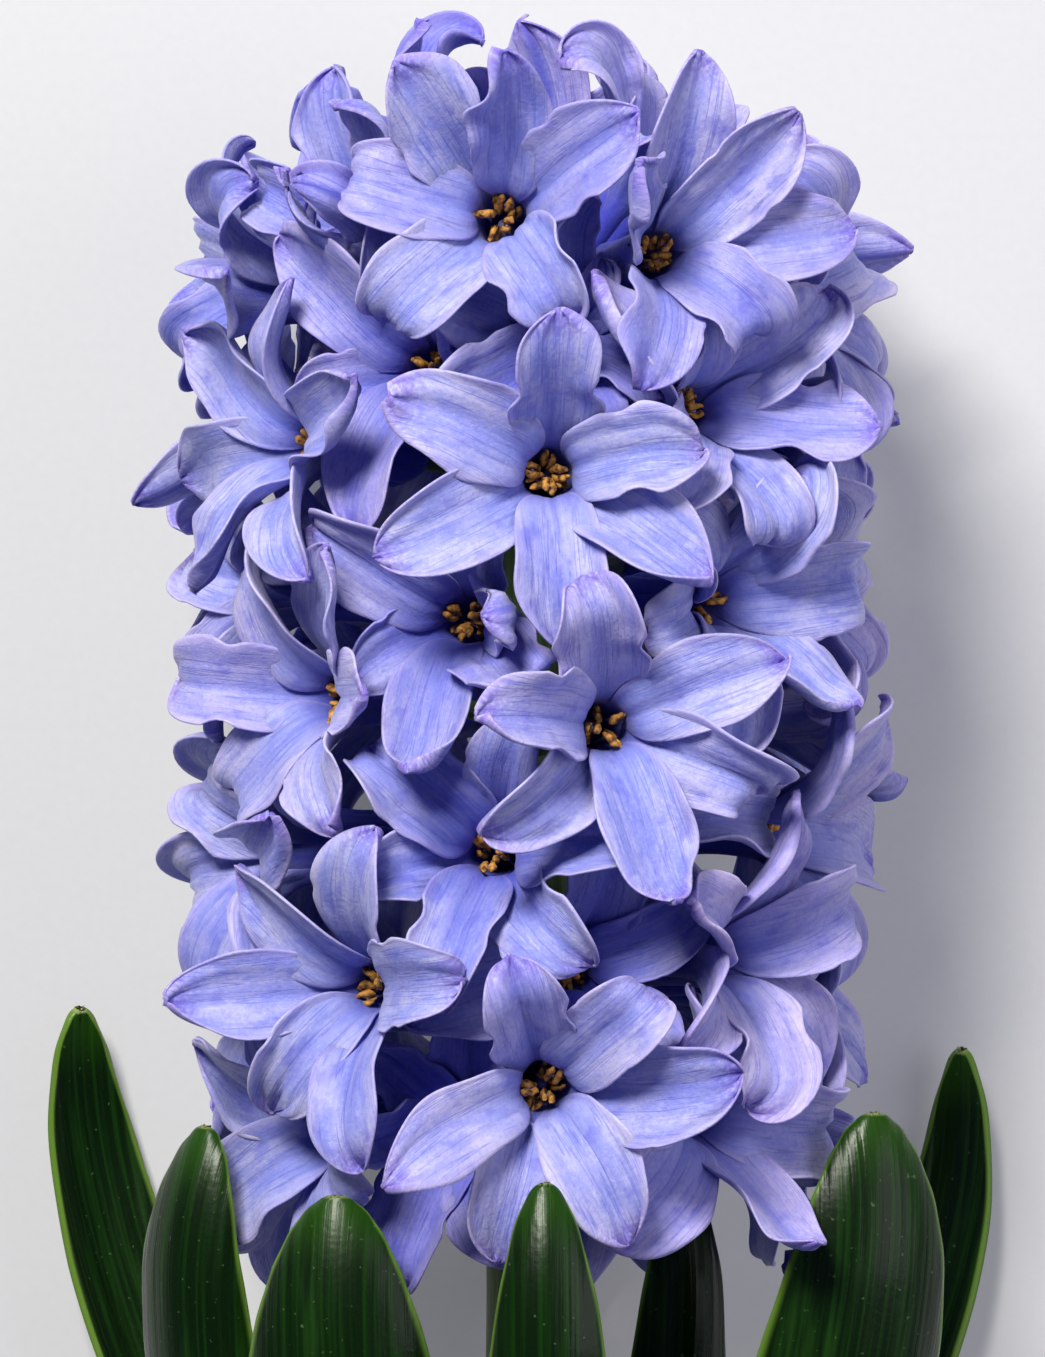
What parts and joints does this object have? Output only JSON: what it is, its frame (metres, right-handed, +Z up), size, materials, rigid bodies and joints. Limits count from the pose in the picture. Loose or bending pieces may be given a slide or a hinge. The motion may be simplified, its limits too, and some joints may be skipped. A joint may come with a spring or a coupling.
{
  "type": "hyacinth flower",
  "caption": "Cut hyacinth lying on its side: a dense head of blue-violet bells with curled petals on a fleshy stalk, with strap leaves held by a slice of bulb plate.",
  "frame": {"origin": "centre of the bottom of the flower's bounding box, on the surface it lies on", "axes": "+Y along the stalk towards the tip of the flower head, +Z up from the surface through the side with the most open bells, +X to the right when looking down with the tip away from the viewer"},
  "size_m": [0.1044, 0.2498, 0.0765],
  "materials": {
    "petal": "satin, waxy",
    "stalk": "satin, fleshy",
    "leaf": "glossy, waxy",
    "bulb_plate": "dull, cut"
  },
  "bodies": {
    "root": {"bell_01": "petal", "bell_02": "petal", "bell_03": "petal", "bell_04": "petal", "bell_05": "petal", "bell_06": "petal", "bell_07": "petal", "bell_08": "petal", "bell_09": "petal", "bell_10": "petal", "bell_11": "petal", "bell_12": "petal", "bell_13": "petal", "bell_14": "petal", "bell_15": "petal", "bell_16": "petal", "bell_17": "petal", "bell_18": "petal", "bell_19": "petal", "bell_20": "petal", "bell_21": "petal", "bell_22": "petal", "bell_23": "petal", "bell_24": "petal", "bell_25": "petal", "bell_26": "petal", "bell_27": "petal", "bell_28": "petal", "bell_29": "petal", "bell_30": "petal", "bell_31": "petal", "bell_32": "petal", "bell_33": "petal", "bell_34": "petal", "bell_35": "petal", "bell_36": "petal", "bell_37": "petal", "bell_38": "petal", "bell_39": "petal", "bell_40": "petal", "bell_41": "petal", "bell_42": "petal", "bell_43": "petal", "bell_44": "petal", "bell_45": "petal", "bell_46": "petal", "bell_47": "petal", "bell_48": "petal", "bell_49": "petal", "bell_50": "petal", "bell_51": "petal", "leaf_far_left": "leaf", "leaf_left": "leaf", "leaf_front_left": "leaf", "leaf_front": "leaf", "leaf_inner": "leaf", "leaf_right": "leaf", "leaf_far_right": "leaf", "flower_stalk": "stalk", "bulb_plate": "bulb_plate"}
  },
  "joints": []
}
